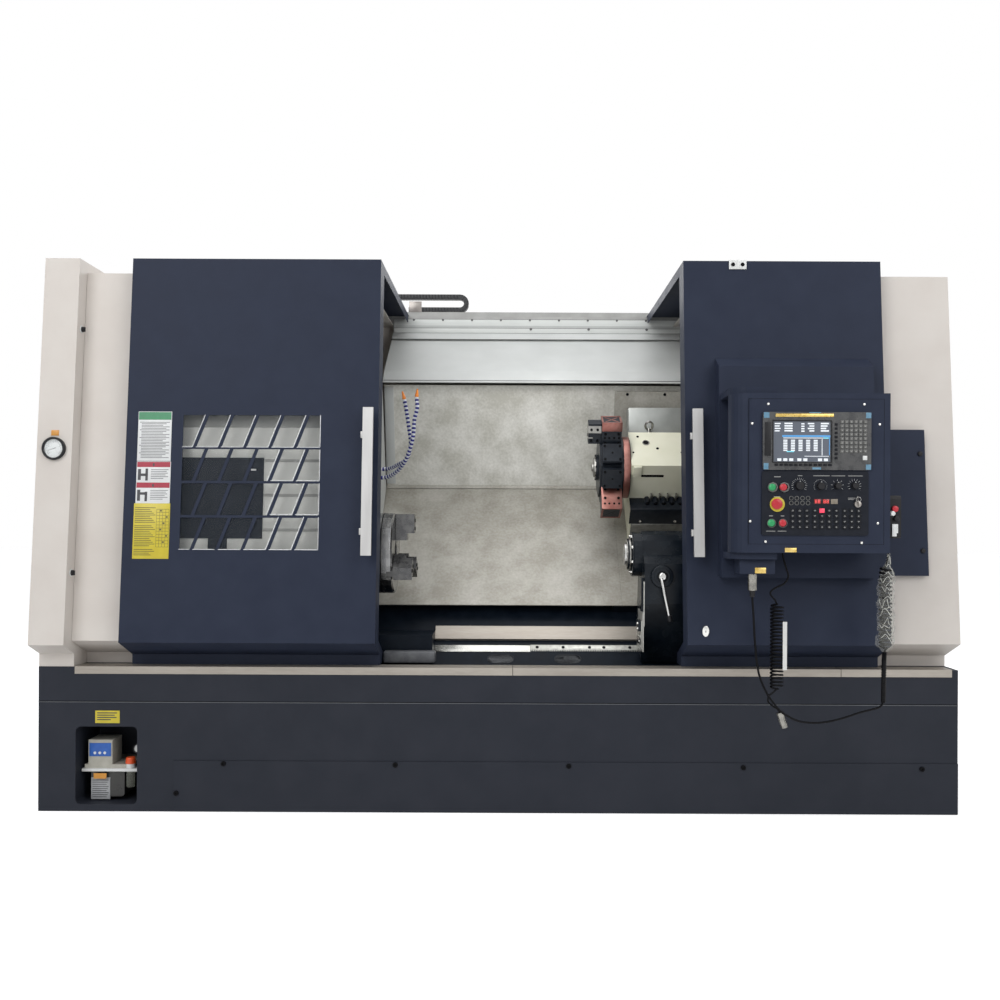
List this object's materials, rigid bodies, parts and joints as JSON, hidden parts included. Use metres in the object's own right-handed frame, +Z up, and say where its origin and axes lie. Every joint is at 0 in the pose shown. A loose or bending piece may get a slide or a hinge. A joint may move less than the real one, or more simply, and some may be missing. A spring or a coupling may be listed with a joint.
{
  "type": "cnc turning lathe",
  "caption": "Slant-bed turning lathe in a sheet-metal enclosure with two sliding doors, a jaw chuck, an indexing turret, a tailstock and a swinging control panel",
  "frame": {"origin": "centre of the base's underside, on the floor", "axes": "+X along the spindle towards the tailstock, +Y away from the operator, +Z up"},
  "size_m": [3.69, 2.1646, 2.3503],
  "materials": {
    "dark_paint": "dark blue-grey paint",
    "base_paint": "dark charcoal paint",
    "light_paint": "warm light grey paint",
    "white_paint": "white paint",
    "cream_paint": "cream paint",
    "cast_paint": "dark painted casting",
    "sheet_steel": "brushed stainless sheet",
    "bright_steel": "ground steel",
    "tool_steel": "tool steel",
    "black_plastic": "black plastic",
    "rubber_black": "black rubber",
    "clear_sheet": "clear sheet",
    "tank_plastic": "milky plastic",
    "red_plastic": "red plastic",
    "green_plastic": "green plastic",
    "blue_plastic": "blue plastic"
  },
  "bodies": {
    "frame": {"access_panel": "base_paint", "back_sheet": "sheet_steel", "base": "base_paint", "bed": "cast_paint", "belt": "rubber_black", "coolant_hose_1": "blue_plastic", "coolant_hose_2": "blue_plastic", "electrical_cabinet": "light_paint", "end_guard": "light_paint", "energy_chain": "black_plastic", "headstock": "cast_paint", "headstock_cover": "light_paint", "ledge_strip": "sheet_steel", "lubricator_pump": "cream_paint", "lubricator_tank": "tank_plastic", "main_motor": "cast_paint", "rear_rail": "sheet_steel", "rear_wall": "light_paint", "right_cover": "light_paint", "side_hatch": "dark_paint", "side_panel": "white_paint", "tailstock_way": "sheet_steel", "upper_panel": "white_paint"},
    "left_door": {"left_door": "dark_paint", "left_window": "clear_sheet", "left_handle": "light_paint"},
    "right_door": {"right_door": "dark_paint", "right_handle": "light_paint", "control_support": "dark_paint"},
    "control_panel": {"control_box": "dark_paint", "display_unit": "black_plastic", "operator_plate": "black_plastic", "pendant": "black_plastic", "pendant_cord": "black_plastic", "swivel_connector": "bright_steel", "spare_cord": "black_plastic", "free_connector": "bright_steel"},
    "spindle": {"spindle_and_chuck": "bright_steel"},
    "jaw_1": {"jaw_1": "tool_steel"},
    "jaw_2": {"jaw_2": "tool_steel"},
    "jaw_3": {"jaw_3": "tool_steel"},
    "motor_rotor": {"motor_pulley": "tool_steel"},
    "saddle": {"saddle": "cast_paint", "left_way_cover": "sheet_steel", "right_way_cover": "sheet_steel"},
    "cross_slide": {"turret_body": "cream_paint"},
    "turret": {"turret_drum": "tool_steel"},
    "tailstock": {"tailstock": "cast_paint"},
    "quill": {"quill": "bright_steel"},
    "clamp_lever": {"clamp_lever": "black_plastic"},
    "cabinet_door": {"cabinet_door": "light_paint"},
    "power_on_button": {"power_on_button": "green_plastic"},
    "power_off_button": {"power_off_button": "red_plastic"},
    "emergency_stop": {"emergency_stop": "red_plastic"},
    "start_button": {"start_button": "green_plastic"},
    "hold_button": {"hold_button": "red_plastic"},
    "mode_knob": {"mode_knob": "black_plastic"},
    "rate_knob": {"rate_knob": "black_plastic"},
    "feed_knob": {"feed_knob": "black_plastic"},
    "speed_knob": {"speed_knob": "black_plastic"}
  },
  "joints": [
    {"name": "left_door_slide", "type": "slide", "parent": "frame", "child": "left_door", "axis": [1, 0, 0], "range_m": [0, 0.61]},
    {"name": "right_door_slide", "type": "slide", "parent": "frame", "child": "right_door", "axis": [-1, 0, 0], "range_m": [0, 0.61]},
    {"name": "control_swing", "type": "hinge", "parent": "right_door", "child": "control_panel", "pos_m": [0.96, -1.1585, 1.0575], "axis": [0, 0, -1], "range_deg": [0, 90]},
    {"name": "spindle_rotation", "type": "hinge", "parent": "frame", "child": "spindle", "pos_m": [-0.442, -0.637, 1.034], "axis": [1, 0, 0], "continuous": true},
    {"name": "jaw_1_slide", "type": "slide", "parent": "spindle", "child": "jaw_1", "axis": [0, 0, 1], "range_m": [-0.008, 0.003]},
    {"name": "jaw_2_slide", "type": "slide", "parent": "spindle", "child": "jaw_2", "axis": [0, -0.866, -0.5], "range_m": [-0.008, 0.003]},
    {"name": "jaw_3_slide", "type": "slide", "parent": "spindle", "child": "jaw_3", "axis": [0, 0.866, -0.5], "range_m": [-0.008, 0.003]},
    {"name": "motor_rotation", "type": "hinge", "parent": "frame", "child": "motor_rotor", "pos_m": [-1.69, -0.22, 0.76], "axis": [1, 0, 0], "continuous": true},
    {"name": "saddle_slide", "type": "slide", "parent": "frame", "child": "saddle", "axis": [1, 0, 0], "range_m": [-0.7, 0.05]},
    {"name": "cross_slide_slide", "type": "slide", "parent": "saddle", "child": "cross_slide", "axis": [0, -0.7071, -0.7071], "range_m": [0, 0.19]},
    {"name": "turret_index", "type": "hinge", "parent": "cross_slide", "child": "turret", "pos_m": [0.5869, -0.24809, 1.42291], "axis": [1, 0, 0], "continuous": true},
    {"name": "tailstock_slide", "type": "slide", "parent": "frame", "child": "tailstock", "axis": [1, 0, 0], "range_m": [-0.5, 0.1]},
    {"name": "quill_slide", "type": "slide", "parent": "tailstock", "child": "quill", "axis": [-1, 0, 0], "range_m": [0, 0.1]},
    {"name": "clamp_lever_hinge", "type": "hinge", "parent": "tailstock", "child": "clamp_lever", "pos_m": [0.67, -0.7903, 0.947], "axis": [0, 1, 0], "range_deg": [0, 50]},
    {"name": "cabinet_door_hinge", "type": "hinge", "parent": "frame", "child": "cabinet_door", "pos_m": [-0.9, 0.8072, 0.64], "axis": [0, 0, 1], "range_deg": [0, 110]},
    {"name": "power_on_button_press", "type": "slide", "parent": "control_panel", "child": "power_on_button", "axis": [0, 1, 0], "range_m": [0, 0.004], "stiffness_N_per_m": 600},
    {"name": "power_off_button_press", "type": "slide", "parent": "control_panel", "child": "power_off_button", "axis": [0, 1, 0], "range_m": [0, 0.004], "stiffness_N_per_m": 600},
    {"name": "emergency_stop_press", "type": "slide", "parent": "control_panel", "child": "emergency_stop", "axis": [0, 1, 0], "range_m": [0, 0.004], "stiffness_N_per_m": 600},
    {"name": "start_button_press", "type": "slide", "parent": "control_panel", "child": "start_button", "axis": [0, 1, 0], "range_m": [0, 0.004], "stiffness_N_per_m": 600},
    {"name": "hold_button_press", "type": "slide", "parent": "control_panel", "child": "hold_button", "axis": [0, 1, 0], "range_m": [0, 0.004], "stiffness_N_per_m": 600},
    {"name": "mode_knob_turn", "type": "hinge", "parent": "control_panel", "child": "mode_knob", "pos_m": [1.112, -1.2466, 1.306], "axis": [0, -1, 0], "range_deg": [-60, 60]},
    {"name": "rate_knob_turn", "type": "hinge", "parent": "control_panel", "child": "rate_knob", "pos_m": [1.19, -1.2466, 1.305], "axis": [0, -1, 0], "range_deg": [-60, 60]},
    {"name": "feed_knob_turn", "type": "hinge", "parent": "control_panel", "child": "feed_knob", "pos_m": [1.253, -1.2466, 1.306], "axis": [0, -1, 0], "range_deg": [-60, 60]},
    {"name": "speed_knob_turn", "type": "hinge", "parent": "control_panel", "child": "speed_knob", "pos_m": [1.316, -1.2466, 1.307], "axis": [0, -1, 0], "range_deg": [-60, 60]}
  ],
  "couplings": [
    {"joint": "jaw_2_slide", "follows": "jaw_1_slide", "ratio": 1},
    {"joint": "jaw_3_slide", "follows": "jaw_1_slide", "ratio": 1},
    {"joint": "motor_rotation", "follows": "spindle_rotation", "ratio": 1.7647}
  ]
}
